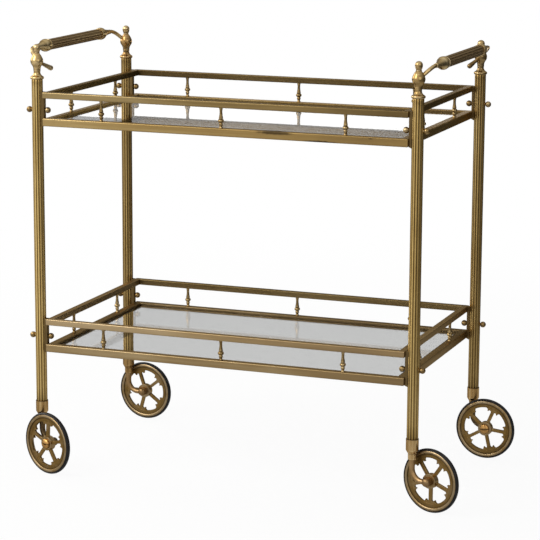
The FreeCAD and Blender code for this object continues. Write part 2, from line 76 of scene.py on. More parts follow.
# A socket of a node tree: sums on it add Math nodes, and node() adds any other node
class Flow:
    def __init__(self, tree, socket=None):
        self.tree = tree
        self.socket = socket

    def node(self, kind, settings, sockets, out=0):
        made = self.tree.nodes.new("ShaderNode" + kind)
        for key, value in settings.items():
            if key == "stops":
                ramp = made.color_ramp
                for number, (place, colour) in enumerate(value):  # a new ramp has two stops
                    stop = ramp.elements[number] if number < 2 else ramp.elements.new(place)
                    stop.position = place
                    stop.color = (*colour, 1)
            else:
                setattr(made, key, value)
        for key, value in sockets.items():
            if isinstance(value, Flow):
                self.tree.links.new(value.socket, made.inputs[key])
            elif isinstance(value, tuple) and len(value) == 3 and len(made.inputs[key].default_value) == 4:
                made.inputs[key].default_value = (*value, 1)
            else:
                made.inputs[key].default_value = value
        return Flow(self.tree, made.outputs[out]) if made.outputs else None

    def sum(self, operation, first, second):
        return self.node("Math", {"operation": operation}, {0: first, 1: second})

    def __add__(self, other):
        return self.sum("ADD", self, other)

    __radd__ = __add__

    def __sub__(self, other):
        return self.sum("SUBTRACT", self, other)

    def __rsub__(self, other):
        return self.sum("SUBTRACT", other, self)

    def __mul__(self, other):
        return self.sum("MULTIPLY", self, other)

    __rmul__ = __mul__

    def __pow__(self, power):
        return self.sum("POWER", self, power)

    def clipped(self):
        return self.node("Clamp", {}, {"Value": self})

    def step(self, low, high):
        return self.node("MapRange", {"interpolation_type": "SMOOTHSTEP"},
                         {"Value": self, "From Min": low, "From Max": high})

    def blend(self, first, second):
        # colour between two colours, this socket being the share of the second
        return self.node("Mix", {"data_type": "RGBA"}, {0: self, 6: first, 7: second}, 2)

    def grey(self):
        return self.node("CombineColor", {}, {0: self, 1: self, 2: self})


def newMaterial(name):
    material = bpy.data.materials.new(name)
    material.use_nodes = True
    material.node_tree.nodes.clear()
    return material, Flow(material.node_tree)


def place(flow, scale):
    spot = flow.node("TexCoord", {}, {}, "Object")
    return flow.node("Mapping", {"vector_type": "POINT"}, {"Vector": spot, "Scale": scale})


def noise(flow, spot, scale, detail=4.0, rough=0.55, bend=0.0):
    return flow.node("TexNoise", {"noise_dimensions": "3D"}, {
        "Vector": spot, "Scale": scale, "Detail": detail, "Roughness": rough, "Distortion": bend})


def surface(flow, shader):
    flow.node("OutputMaterial", {}, {"Surface": shader})


# What all brass finishes share: the noises, where stains begin and end, and how deep or rough they are
patina = {
    "cloud": {"scale": 1.0, "detail": 4, "rough": 0.55, "bend": 0.5},
    "mottle": {"scale": 140, "detail": 5, "rough": 0.65, "bend": 0.2},
    "streak": {"scale": 1.0, "detail": 4, "rough": 0.6},
    "speck": {"scale": 260, "detail": 3, "rough": 0.6},
    "blot": {"scale": 0.6, "detail": 5, "rough": 0.62, "bend": 0.8},
    "pit": {"scale": 900, "detail": 3, "rough": 0.6},
    "speckEdge": (0.64, 0.74), "blotEdge": (0.60, 0.74), "markEdge": (0.9, 1.9), "markRagged": 1.6,
    "wearAndHighlightLeast": 0.35, "streakHeight": 0.35, "pitHeight": 0.12, "stainDepth": 0.3, "stainRough": 0.12,
    "bumpDistance": 0.0004, "coatRough": 0.2, "coatIndex": 1.45,
}


# Aged brass: brown patina over worn metal, drawn streaks along the bar, dark stains and specks, fine pits.
# The relief of a piece is above nought on its edges and crests, drawn bright as rubbed wear and painted
# highlight, and below nought in its hollows, drawn dark as patina and painted shade. The tone may slope along
# X: a painted light gradient.
def agedBrass(name, look):
    material, flow = newMaterial(name)
    plain = place(flow, (1, 1, 1))
    along = place(flow, look["grain"])
    relief = flow.node("Attribute", {"attribute_name": "relief"}, {}, "Fac")
    cloud = noise(flow, place(flow, look["drift"]), **patina["cloud"])
    mottle = noise(flow, plain, **patina["mottle"])
    streak = noise(flow, along, **patina["streak"])
    speck = noise(flow, plain, **patina["speck"]).step(*patina["speckEdge"])
    blot = noise(flow, along, **patina["blot"]).step(*patina["blotEdge"])
    pit = noise(flow, plain, **patina["pit"])
    # edges and crests: rubbed wear and painted highlight; hollows: patina and painted shade
    wearAndHighlight = relief.clipped() * (mottle + patina["wearAndHighlightLeast"])
    hollow = (0.0 - relief).clipped()
    vary = (cloud - 0.5) * look["patches"] + (streak - 0.5) * look["streaks"]
    vary = vary + (mottle - 0.5) * look["mottle"]
    # painted light: with a slope below nought the bar grows lighter towards its left end, where the light
    # comes from
    if look["paintedLightSlope"]:
        vary = vary + flow.node("SeparateXYZ", {}, {"Vector": plain}, "X") * look["paintedLightSlope"]
    ageAndLight = (0.5 + vary + wearAndHighlight * look["wearAndHighlightGain"]).clipped()
    stops = [(0.0, look["dark"]), (1.0, look["wornAndHighlight"]), (0.5, look["middle"])]
    colour = flow.node("ValToRGB", {"stops": stops}, {"Fac": ageAndLight})
    stainAndShade = speck * look["specks"] + blot * look["blots"] + hollow * look["sootAndShade"]
    for mark in look["marks"]:
        stainAndShade = stainAndShade + tarnishMark(flow, plain, mottle, **mark)
    stainAndShade = stainAndShade.clipped()
    rough = look["rough"] + (0.5 - ageAndLight) * look["roughRange"] + stainAndShade * patina["stainRough"]
    height = mottle * look["mottle"] + streak * patina["streakHeight"] + pit * patina["pitHeight"]
    height = height - stainAndShade * patina["stainDepth"]
    normal = flow.node("Bump", {}, {
        "Strength": look["bump"], "Distance": patina["bumpDistance"], "Height": height})
    shader = flow.node("BsdfPrincipled", {}, {
        "Base Color": stainAndShade.blend(colour, look["stainAndShadeColour"]), "Metallic": look["metal"], "Roughness": rough,
        "Normal": normal, "Specular Tint": look["grazing"], "Coat Weight": look["coat"],
        "Coat Roughness": patina["coatRough"], "Coat IOR": patina["coatIndex"]})
    surface(flow, shader)
    return material


# a long dark spot: within an oval about one place along a bar and one level, its rim ragged by the mottle
def tarnishMark(flow, plain, mottle, x, z, length, height, depth):
    spot = flow.node("SeparateXYZ", {}, {"Vector": plain}, "X")
    level = flow.node("SeparateXYZ", {}, {"Vector": plain}, "Z")
    across = (spot - x) * (2 / length)
    upward = (level - z) * (2 / height)
    away = across * across + upward * upward + mottle * patina["markRagged"]
    return (1.0 - away.step(*patina["markEdge"])) * depth


brassLook = {"dark": (0.20, 0.120, 0.042), "middle": (0.42, 0.280, 0.106), "wornAndHighlight": (0.64, 0.49, 0.26),
             "stainAndShadeColour": (0.035, 0.022, 0.010), "sootAndShade": 0.8, "specks": 0.12, "blots": 0.2, "wearAndHighlightGain": 0.35,
             "grain": (30, 30, 30), "drift": (11, 11, 11), "patches": 0.9, "streaks": 0.7, "mottle": 0.25,
             "rough": 0.33, "roughRange": 0.12, "bump": 0.06, "metal": 0.96, "coat": 0.08,
             "grazing": (0.70, 0.58, 0.42), "paintedLightSlope": 0.0, "marks": ()}

# legs: one tone for each corner
legLook = {**brassLook, "grain": (220, 220, 4), "drift": (12, 12, 5), "sootAndShade": 0.64, "mottle": 0.1,
           "wearAndHighlightGain": 0.45, "rough": 0.28}
rearLegTone = {"dark": (0.15, 0.086, 0.026), "middle": (0.33, 0.208, 0.064), "wornAndHighlight": (0.56, 0.40, 0.165)}
legTones = {
    "front_left": {"middle": (0.48, 0.310, 0.094), "wornAndHighlight": (0.78, 0.57, 0.235)},
    "front_right": {"dark": (0.17, 0.098, 0.030), "middle": (0.42, 0.270, 0.083), "wornAndHighlight": (0.72, 0.52, 0.21)},
    "rear_left": rearLegTone,
    "rear_right": rearLegTone,
}
legBrass = {part: agedBrass(part + "LegBrass", {**legLook, **tone}) for part, tone in legTones.items()}

# finials and their knobs
turnedLook = {**brassLook, "grain": (60, 60, 420), "wornAndHighlight": (0.78, 0.63, 0.37), "rough": 0.16}
turnedTones = {
    "front_left": {"middle": (0.50, 0.345, 0.145)},
    "front_right": {"middle": (0.36, 0.236, 0.090)},
    "rear_left": {"dark": (0.15, 0.080, 0.028), "middle": (0.36, 0.215, 0.080), "wornAndHighlight": (0.70, 0.50, 0.26)},
    "rear_right": {"dark": (0.09, 0.052, 0.020), "middle": (0.22, 0.138, 0.050), "wornAndHighlight": (0.56, 0.42, 0.21)},
    "knobs": {"middle": (0.42, 0.290, 0.126)},
}
turnedBrass = {part: agedBrass(part + "Brass", {**turnedLook, **tone}) for part, tone in turnedTones.items()}

# smaller pieces
armLook = {"grain": (60, 60, 60), "drift": (30, 30, 30), "mottle": 0.3, "rough": 0.40}
pieceTones = {
    "ferrule": {"grain": (60, 420, 60), "middle": (0.54, 0.395, 0.185), "wornAndHighlight": (0.86, 0.72, 0.46),
                "rough": 0.18},
    "handle": {"grain": (60, 420, 60), "middle": (0.50, 0.345, 0.145), "wornAndHighlight": (0.78, 0.63, 0.37),
               "rough": 0.16},
    "grip": {"grain": (220, 5, 220), "drift": (14, 5, 14), "dark": (0.14, 0.094, 0.048),
             "middle": (0.31, 0.215, 0.115), "wornAndHighlight": (0.52, 0.39, 0.22), "rough": 0.32, "sootAndShade": 0.45,
             "mottle": 0.1},
    "spindle": {"grain": (60, 60, 420), "dark": (0.10, 0.060, 0.022), "middle": (0.23, 0.150, 0.056),
                "rough": 0.20},
    "post": {"grain": (220, 220, 4), "dark": (0.060, 0.036, 0.014), "middle": (0.13, 0.083, 0.031),
             "wornAndHighlight": (0.27, 0.19, 0.085), "rough": 0.36},
    "fitting": {"grain": (90, 90, 90), "drift": (22, 22, 22), "patches": 2.4, "dark": (0.10, 0.058, 0.024),
                "middle": (0.27, 0.178, 0.070), "wornAndHighlight": (0.80, 0.66, 0.40), "rough": 0.22},
    # socket: its streaks, about three times stronger than on other pieces, are painted reflection streaks
    # over drawn ones
    "socket": {"grain": (150, 150, 9), "dark": (0.17, 0.088, 0.028), "middle": (0.44, 0.265, 0.094),
               "wornAndHighlight": (0.84, 0.62, 0.32), "mottle": 0.12, "patches": 0.5, "streaks": 2.2, "rough": 0.24},
    "arm": {**armLook, "dark": (0.15, 0.085, 0.034), "middle": (0.33, 0.200, 0.086),
            "wornAndHighlight": (0.52, 0.36, 0.19)},
    # a darker copy of the arm brass for arms behind their wheel: painted shade
    "shadedArm": {**armLook, "dark": (0.050, 0.034, 0.018), "middle": (0.13, 0.085, 0.040),
                  "wornAndHighlight": (0.30, 0.22, 0.12)},
    "screw": {"grain": (90, 90, 90), "dark": (0.24, 0.118, 0.036), "middle": (0.52, 0.285, 0.092),
              "wornAndHighlight": (0.74, 0.47, 0.19), "rough": 0.27},
    "wheel": {"grain": (60, 60, 60), "drift": (26, 26, 26), "dark": (0.10, 0.056, 0.018),
              "middle": (0.25, 0.147, 0.040), "wornAndHighlight": (0.36, 0.265, 0.150), "rough": 0.38, "wearAndHighlightGain": 0.5,
              "mottle": 0.5, "bump": 0.10, "specks": 0.3},
}
pieceBrass = {part: agedBrass(part + "Brass", {**brassLook, **tone}) for part, tone in pieceTones.items()}

# the trays' bars: one tone for each tray's rails and frames, and a few for one side only
trayLook = {**brassLook, "mottle": 0.06, "specks": 0.05, "blots": 0.3, "wearAndHighlightGain": 0.12, "rough": 0.37,
            "bump": 0.04}
frameMarks = ({"x": 0.096, "z": 0.6195, "length": 0.074, "height": 0.0070, "depth": 0.85},
              {"x": 0.176, "z": 0.6088, "length": 0.070, "height": 0.0055, "depth": 0.9},
              {"x": 0.262, "z": 0.6190, "length": 0.009, "height": 0.0030, "depth": 0.6})
upperFrameTone = {"dark": (0.175, 0.108, 0.037), "middle": (0.285, 0.186, 0.065), "wornAndHighlight": (0.46, 0.335, 0.15),
                  "paintedLightSlope": -0.7}
trayTones = {
    "upperRail": {"dark": (0.105, 0.068, 0.025), "middle": (0.212, 0.143, 0.054), "wornAndHighlight": (0.37, 0.275, 0.13),
                  "paintedLightSlope": -0.9},
    "upperFrame": upperFrameTone,
    "upperFrontFrame": {**upperFrameTone, "marks": frameMarks},
    "lowerRail": {"dark": (0.21, 0.139, 0.067), "middle": (0.345, 0.238, 0.114), "wornAndHighlight": (0.52, 0.405, 0.245),
                  "paintedLightSlope": -0.9},
    "lowerFrame": {"dark": (0.18, 0.119, 0.054), "middle": (0.285, 0.193, 0.087), "wornAndHighlight": (0.45, 0.34, 0.185),
                   "paintedLightSlope": -0.7},
    # the rear rails are darker than the other rails: painted shade
    "upperRearRail": {"dark": (0.075, 0.047, 0.015), "middle": (0.145, 0.094, 0.031),
                      "wornAndHighlight": (0.25, 0.18, 0.075)},
    "lowerRearRail": {"dark": (0.10, 0.064, 0.021), "middle": (0.205, 0.138, 0.050),
                      "wornAndHighlight": (0.33, 0.24, 0.11)},
}
trayGrains = {"long": {"grain": (4, 260, 260), "drift": (5, 26, 26)},
              "short": {"grain": (260, 4, 260), "drift": (26, 5, 26), "paintedLightSlope": 0.0}}


def trayBrass(bar, run):
    # mixed once for each tone and run of the bar, along X or along Y
    name = bar + run.capitalize() + "Brass"
    known = bpy.data.materials.get(name)
    return known or agedBrass(name, {**trayLook, **trayTones[bar], **trayGrains[run]})


# Black rubber: fine grain, pale dust and scuffs
rubberLook = {"black": (0.006, 0.005, 0.005), "dusty": (0.026, 0.022, 0.020), "rough": 0.5, "dustRough": 0.2,
              "dust": {"scale": 60, "detail": 6, "rough": 0.7, "bend": 0.5}, "dustEdge": (0.45, 0.75),
              "grain": {"scale": 700, "detail": 3, "rough": 0.6}, "dustHeight": 0.4, "bump": 0.25,
              "bumpDistance": 0.0003, "shine": 0.25}


def blackRubber():
    material, flow = newMaterial("blackRubber")
    plain = place(flow, (1, 1, 1))
    dust = noise(flow, plain, **rubberLook["dust"]).step(*rubberLook["dustEdge"])
    height = noise(flow, plain, **rubberLook["grain"]) + dust * rubberLook["dustHeight"]
    normal = flow.node("Bump", {}, {
        "Strength": rubberLook["bump"], "Distance": rubberLook["bumpDistance"], "Height": height})
    shader = flow.node("BsdfPrincipled", {}, {
        "Base Color": dust.blend(rubberLook["black"], rubberLook["dusty"]), "Normal": normal,
        "Roughness": rubberLook["rough"] + dust * rubberLook["dustRough"],
        "Specular IOR Level": rubberLook["shine"]})
    surface(flow, shader)
    return material


# Clear glass with a grey tint, deeper on the upper shelf, and a few wipe marks
glassLook = {"stretch": (1, 3, 1), "wipe": {"scale": 6, "detail": 5, "rough": 0.65, "bend": 1.2},
             "wipeEdge": (0.5, 0.8), "rough": 0.004, "wipeRough": 0.03, "index": 1.5}
glassTints = {
    "upper": {"name": "upperGlassGrey", "tint": (0.56, 0.555, 0.545), "wiped": (0.60, 0.595, 0.585)},
    "lower": {"name": "lowerGlassClear", "tint": (0.725, 0.73, 0.725), "wiped": (0.755, 0.76, 0.75)},
}


def clearGlass(name, tint, wiped):
    material, flow = newMaterial(name)
    wipe = noise(flow, place(flow, glassLook["stretch"]), **glassLook["wipe"]).step(*glassLook["wipeEdge"])
    shader = flow.node("BsdfPrincipled", {}, {
        "Base Color": wipe.blend(tint, wiped), "IOR": glassLook["index"], "Transmission Weight": 1.0,
        "Roughness": wipe * glassLook["wipeRough"] + glassLook["rough"]})
    surface(flow, shader)
    return material


rubber = blackRubber()
glass = {tray: clearGlass(**tint) for tray, tint in glassTints.items()}
print("finishes mixed")


# Shapes are in millimetres: points, the four-sided faces between them, end faces, and each point's relief
mm = 0.001
mergeDistance = 1e-6  # in metres
corners = {"front_left": (-1, -1), "front_right": (1, -1), "rear_left": (-1, 1), "rear_right": (1, 1)}


def span(node):
    low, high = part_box(node)
    return np.array(low) / mm, np.array(high) / mm


def middle(node):
    return sum(span(node)) / 2


def fullTurn(count):
    return np.linspace(0, 2 * np.pi, count, endpoint=False)


# A grid of points as a skin: each point is joined to the next in its row, round to the first, and to its like
# in the row after. The first and last rows are closed by a face each, or the last row is joined to the first.
def skin(grid, relief, ends=True, ring=False):
    rows, columns = grid.shape[:2]
    row, column = np.meshgrid(np.arange(rows if ring else rows - 1), np.arange(columns), indexing="ij")
    here = row * columns
    after = (row + 1) % rows * columns
    beside = (column + 1) % columns
    quads = np.stack((here + column, here + beside, after + beside, after + column), -1).reshape(-1, 4)
    loop = np.arange(columns)
    caps = [loop, loop + (rows - 1) * columns] if ends else []
    return {"points": grid.reshape(-1, 3), "quads": quads, "caps": caps,
            "relief": np.broadcast_to(relief, (rows, columns)).reshape(-1)}


# each shape turned about the upright axis by an angle in degrees, then shifted
def moved(shapes, swivel, offset):
    turn = math.radians(swivel)
    axes = np.array(((math.cos(turn), math.sin(turn), 0), (-math.sin(turn), math.cos(turn), 0), (0, 0, 1)))
    return [{**shape, "points": shape["points"] @ axes + np.array(offset)} for shape in shapes]


def buildMesh(name, shapes, crease):
    starts = np.cumsum([0] + [len(shape["points"]) for shape in shapes])
    faces = []
    for start, shape in zip(starts, shapes):
        faces += (shape["quads"] + start).tolist() + [(cap + start).tolist() for cap in shape["caps"]]
    mesh = bpy.data.meshes.new(name)
    mesh.from_pydata((np.concatenate([shape["points"] for shape in shapes]) * mm).tolist(), [], faces)
    relief = mesh.attributes.new("relief", "FLOAT", "POINT")
    relief.data.foreach_set("value", np.concatenate([shape["relief"] for shape in shapes]).astype(np.float32))
    shell = bmesh.new()
    shell.from_mesh(mesh)
    bmesh.ops.remove_doubles(shell, verts=shell.verts, dist=mergeDistance)
    bmesh.ops.recalc_face_normals(shell, faces=shell.faces)
    shell.to_mesh(mesh)
    shell.free()
    mesh.shade_smooth()
    mesh.set_sharp_from_angle(angle=math.radians(crease))
    edges = np.empty(len(mesh.polygons), np.int32)
    mesh.polygons.foreach_get("loop_total", edges)
    mesh.polygons.foreach_set("use_smooth", edges <= 4)  # end faces stay flat
    return mesh


def addPiece(name, shapes, finish, slot, body, *replaced, crease=42):
    mesh = buildMesh(name, shapes, crease)
    mesh.materials.append(finish)
    piece = bpy.data.objects.new(name, mesh)
    scene.collection.objects.link(piece)
    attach(piece, body)
    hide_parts(*replaced)


# A line of straight steps (x, y) and arcs (bulge, x, y), the bulge to the right of the way. It is walked in
# even paces, its corners are eased by a weighted running mean, and the third column is the relief: how
# sharply it bends outward. Points are kept where length walked plus angle turned pass whole numbers.
walk = {"pace": 0.05, "leastPoints": 8, "longest": 2.0, "turn": 0.22, "reliefGain": 0.9}


def contour(start, *steps, ease=0.5, loop=False):
    pace = walk["pace"]
    here = np.array(start, float)
    runs = [here[None]]
    for step in steps + ((start,) if loop else ()):
        there = np.array(step[-2:], float)
        chord = there - here
        length = np.hypot(*chord)
        share = np.linspace(-1, 1, int(length / pace) + walk["leastPoints"])[1:, None]
        run = (here + there) / 2 + chord / 2 * share
        if len(step) == 3:
            half = 2 * math.atan2(2 * step[0], length)
            radius = length / 2 / math.sin(half)
            along = chord / length
            right = np.array((along[1], -along[0]))
            run = (here + there) / 2 + along * radius * np.sin(share * half)
            run = run + right * radius * (np.cos(share * half) - math.cos(half))
        runs.append(run)
        here = there
    line = np.concatenate(runs)
    walked = np.concatenate(([0], np.cumsum(np.hypot(*np.diff(line, axis=0).T))))
    even = np.linspace(0, walked[-1], int(walked[-1] / pace) + 2, endpoint=not loop)
    line = np.column_stack([np.interp(even, walked, column) for column in line.T])
    width = max(1, int(ease / pace))
    weights = np.hanning(2 * width + 3)[1:-1]
    edges = {"mode": "wrap"} if loop else {"mode": "reflect", "reflect_type": "odd"}
    line = np.column_stack([np.convolve(np.pad(column, width, **edges), weights / weights.sum(), "valid")
                            for column in line.T])
    first = np.gradient(line, pace, axis=0)
    second = np.gradient(first, pace, axis=0)
    bend = first[:, 0] * second[:, 1] - first[:, 1] * second[:, 0]
    effort = np.cumsum(pace * (1 / walk["longest"] + np.abs(bend) / walk["turn"]))
    marks = np.linspace(effort[0], effort[-1], int(effort[-1]) + 2)
    columns = (*line.T, np.tanh(bend * walk["reliefGain"]))
    return np.column_stack([np.interp(marks, effort, column) for column in columns])


# A contour of radius and height carried round an axis: base + radius times a turning unit vector + height
# along the axis. The first unit vector is square to the axis and to another vector well off it.
def lathe(line, base, axis=(0, 0, 1), turns=56, ring=False):
    axis = np.array(axis, float) / np.linalg.norm(axis)
    side = np.cross(axis, (0.31, 0.87, 0.12) if abs(axis[1]) < 0.8 else (0.95, 0.1, 0.2))
    side = side / np.linalg.norm(side)
    turn = fullTurn(turns)[:, None]
    spin = np.cos(turn) * side + np.sin(turn) * np.cross(axis, side)
    radius = np.maximum(line[:, 0], 0)[:, None, None]
    grid = np.array(base) + radius * spin + line[:, 1][:, None, None] * axis
    return skin(grid, line[:, 2][:, None], ends=False, ring=ring)


# A circle carried along a bent path, its plane set by the vector across the bend; the radius may change
def tube(path, radius, across, turns=32, relief=0.1):
    way = np.gradient(path, axis=0)
    way = way / np.linalg.norm(way, axis=1)[:, None]
    side = np.cross(np.array(across), way)
    turn = fullTurn(turns)[None, :, None]
    ring = np.cos(turn) * side[:, None] + np.sin(turn) * np.array(across)
    return skin(path[:, None] + np.asarray(radius).reshape(-1, 1, 1) * ring, relief)


# Rectangle with round corners: corner centres plus radius times cosine and sine, with one more point on the
# flat before and after each corner; the relief is greatest in mid corner
roundCorner = {"points": 7, "shoulder": 0.4}


def roundedLoop(width, height, radius, cut=0.0):
    points, shoulder = roundCorner.values()
    turn = np.concatenate(((0,), np.linspace(0, np.pi / 2, points), (np.pi / 2,)))
    flat = np.concatenate(((-shoulder,), np.zeros(points), (shoulder,)))
    quarter = turn + np.arange(4)[:, None] * np.pi / 2
    x = np.array((1, -1, -1, 1))[:, None] * (width / 2 - radius)
    y = np.array((1, 1, -1, -1))[:, None] * (height / 2 - radius)
    x = x + (radius - cut) * np.cos(quarter) - flat * np.sin(quarter)
    y = y + (radius - cut) * np.sin(quarter) + flat * np.cos(quarter)
    return x.reshape(-1), y.reshape(-1), np.tile(np.sin(2 * turn), 4)


# quarter circles at the lower and upper edge of a plate: how far its outline is drawn in, and at which level
def roundedEdges(low, high, radius, steps):
    turn = np.linspace(0, np.pi / 2, steps)
    cut = radius * (1 - np.concatenate((np.sin(turn), np.cos(turn))))
    level = np.concatenate((low + radius * (1 - np.cos(turn)), high + radius * (np.sin(turn) - 1)))
    return cut[:, None], level[:, None]


# Legs and grips: bars with convex reeds. The distance from the axis is that of a circle set off to each
# crest, centre * cos(a) + root(arc^2 - (centre * sin(a))^2), where a is the angle from the nearest crest.
# Both ends are darker, most at the very end and less up to two heights from it.
reeded = {"reeds": 12, "depth": 1.1, "facets": 14, "chamfer": 0.25, "chamferRun": 0.4, "legEndDark": 0.8,
          "gripEndDark": 0.3, "lowEndDark": (8, 24), "highEndDark": (5, 14), "thinner": 0.7}


def reededBar(radius, low, high, endDark):
    step = 2 * np.pi / reeded["reeds"]
    turn = fullTurn(reeded["reeds"] * reeded["facets"])
    off = turn % step - step / 2
    valley = radius - reeded["depth"]
    rise = radius - valley * math.cos(step / 2)
    arc = ((valley * math.sin(step / 2)) ** 2 + rise ** 2) / (2 * rise)
    centre = radius - arc
    reach = centre * np.cos(off) + np.sqrt(arc ** 2 - (centre * np.sin(off)) ** 2)
    # relief of plus one on each crest, a painted highlight, and minus one in each groove, a painted shade
    crestHighlightGrooveShade = np.cos(off / step * 2 * np.pi)
    run, thinner = reeded["chamferRun"], reeded["thinner"]
    lower = low + np.array((0, run, *reeded["lowEndDark"]))
    upper = high - np.array((0, run, *reeded["highEndDark"]))
    height = np.concatenate((lower, upper[::-1]))
    inset = reeded["chamfer"] * np.array((1, 0, 0, 0, 0, 0, 0, 1))
    endDarkening = endDark * np.array((1, 1, thinner, 0, 0, thinner, 1, 1))
    grid = np.empty((len(height), len(turn), 3))
    grid[..., 0] = (reach - inset[:, None]) * np.cos(turn)
    grid[..., 1] = (reach - inset[:, None]) * np.sin(turn)
    grid[..., 2] = height[:, None]
    return skin(grid, crestHighlightGrooveShade[None] - endDarkening[:, None])


for name in corners:
    node = name + "_leg"
    low, high = span(node)
    shape = reededBar((high[0] - low[0]) / 2, low[2], high[2], reeded["legEndDark"])
    upright = moved([shape], 0, middle(node) * (1, 1, 0))
    addPiece(name + "Leg", upright, legBrass[name], "antique_brass", "cart", node)
for side in ("left", "right"):
    node = side + "_handle_grip"
    low, high = span(node)
    shape = reededBar((high[2] - low[2]) / 2, low[1], high[1], reeded["gripEndDark"])
    shape["points"] = shape["points"][:, (1, 2, 0)] + middle(node) * (1, 0, 1)  # laid along Y
    addPiece(side + "Grip", [shape], pieceBrass["grip"], "dark_grip_brass", "cart", node)
legFoot, legTop = (end[2] for end in span("front_left_leg"))
legX = middle("front_right_leg")[0]
legY = middle("rear_left_leg")[1]
print("legs and grips reeded")


# Rails and frames: a rounded box section carried along the bar, its ends cut at 45 degrees, so that each
# thread of the section is shorter by its own inset. The inner face is darkened with painted shade, the outer
# edges are rubbed.
bars = {"rail": {"corner": 1.3, "ends": 0.6, "rear": 0.5}, "frame": {"corner": 1.5, "ends": 0.1, "rear": 0.6},
        "stations": 40, "seam": 0.08, "wearAndHighlight": 0.9}
sides = {"front": (0, -1), "right": (1, 0), "rear": (0, 1), "left": (-1, 0)}


def mitredBar(node, kind, outward):
    low, high = span(node)
    corner = bars[kind]["corner"]
    outward = np.array((*outward, 0), float)
    along = np.array((-outward[1], outward[0], 0))
    wide, long = (1, 0) if outward[0] == 0 else (0, 1)
    width = high[wide] - low[wide]
    reach = max(abs(low[wide]), abs(high[wide]))
    across, rise, relief = roundedLoop(width, high[2] - low[2], corner)
    inset = width / 2 - across
    inner = np.clip((inset - width + corner) / corner, 0, 1)
    share = np.linspace(-1, 1, bars["stations"])[:, None, None]
    grid = share * (high[long] - inset - bars["seam"])[None, :, None] * along
    grid = grid + (reach - inset)[None, :, None] * outward
    grid[..., 2] = rise + (low[2] + high[2]) / 2
    # painted shade on the inner face: the ends weight on the end bars, the rear weight on the front and rear
    # bars
    paintedShade = bars[kind]["ends" if outward[1] == 0 else "rear"]
    return skin(grid, (relief * bars["wearAndHighlight"] * (1 - inner) - paintedShade * inner)[None])


for tray in ("lower", "upper"):
    for side, outward in sides.items():
        for kind in ("rail", "frame"):
            node = tray + "_tray_" + side + "_" + kind
            name = tray + side.capitalize() + kind.capitalize()
            bar = name if name in trayTones else tray + kind.capitalize()
            finish = trayBrass(bar, "long" if outward[0] == 0 else "short")
            addPiece(name, [mitredBar(node, kind, outward)], finish, "tray_brass", "cart", node)
print("rails and frames mitred")


# Glass shelves: rounded outlines laid over each other, drawn in at both edges
pane = {"corner": 2.5, "edge": 1.1}


def glassPane(node):
    low, high = span(node)
    cut, level = roundedEdges(low[2], high[2], pane["edge"], steps=6)
    x, y, relief = roundedLoop(high[0] - low[0], high[1] - low[1], pane["corner"], cut[..., None])
    grid = np.empty((len(level), len(relief), 3))
    grid[..., 0] = x.reshape(len(level), -1)
    grid[..., 1] = y.reshape(len(level), -1)
    grid[..., 2] = level
    return skin(grid, 0.0)


for tray in ("lower", "upper"):
    node = tray + "_glass"
    addPiece(tray + "Glass", [glassPane(node)], glass[tray], "clear_glass", "cart", node, crease=30)
print("glass polished")


# Spindles: base, small ball, bead, shoulder and slim stem, heights from the frame's top
spindle = {"longSpacing": 217.5, "shortPlace": 92.0, "profile": (
    (0, 0), (3.2, 0), (3.2, 0.9), (2.15, 3.3), (1.0, 2.5, 8.9), (2.4, 2.9, 15.2), (3.6, 16.1), (3.6, 16.8),
    (-0.3, 2.4, 27.0), (-0.3, 3.2, 33.4), (3.2, 34.0), (0, 34.0))}


# the profile turned about the upright through its base
def turnSpindle(base):
    return lathe(contour(*spindle["profile"], ease=0.32), base, turns=32)


for tray in ("lower", "upper"):
    frameTop = span(tray + "_tray_right_frame")[1][2]
    railLow, railHigh = span(tray + "_tray_right_rail")
    lineX = (railLow[0] + railHigh[0]) / 2
    lineY = railHigh[1] - (railHigh[0] - railLow[0]) / 2
    places = [(x * spindle["longSpacing"], y * lineY) for y in (-1, 1) for x in (-1, 0, 1)]
    places += [(x * lineX, y * spindle["shortPlace"]) for x in (-1, 1) for y in (-1, 1)]
    addPiece(tray + "Spindles", [turnSpindle((x, y, frameTop)) for x, y in places], pieceBrass["spindle"],
             "tray_brass", "cart", tray + "_tray_spindles")
print("spindles turned")


# Finials: flange, flared waist and ball on each leg, a tip knob, and the club-shaped clamp lever
finial = {"flange": ((0, 0), (10.5, 0), (1.2, 10.5, 4.6)), "waist": (-2.2, 6.1, 14.8), "collarHollow": -0.9,
          "ball": 10.9, "ballHeight": 30.6, "ballFoot": 8.6, "ballTop": 9.5, "tip": 4.4, "tipSwell": 0.4,
          "height": 44.0}
knob = {"foot": ((0, 0), (4.8, 0), (4.8, 1.4), (4.3, 1.4)), "neckSwell": 0.5, "ball": 6.4, "ballHeight": 9.2}
lever = {"inward": 12.0, "along": 28.0, "drop": 14.0, "start": 3.4, "stem": 2.6, "end": 4.4}


def arcBulge(radius, low, high):
    # rise of a circle's arc over its chord, between two distances from the axis below and above the middle
    return radius * (1 - math.cos((math.acos(low / radius) + math.acos(high / radius)) / 2))


# a flange with a swollen edge, two hollow curves up to the ball, the ball's arc and a swell to the flat tip
def turnFinial(base):
    ball, centre, foot, top = (finial[key] for key in ("ball", "ballHeight", "ballFoot", "ballTop"))
    line = contour(*finial["flange"], finial["waist"],
                   (finial["collarHollow"], foot, centre - math.sqrt(ball ** 2 - foot ** 2)),
                   (arcBulge(ball, foot, top), top, centre + math.sqrt(ball ** 2 - top ** 2)),
                   (finial["tipSwell"], finial["tip"], finial["height"]), (0, finial["height"]), ease=0.45)
    return lathe(line, base, turns=64)


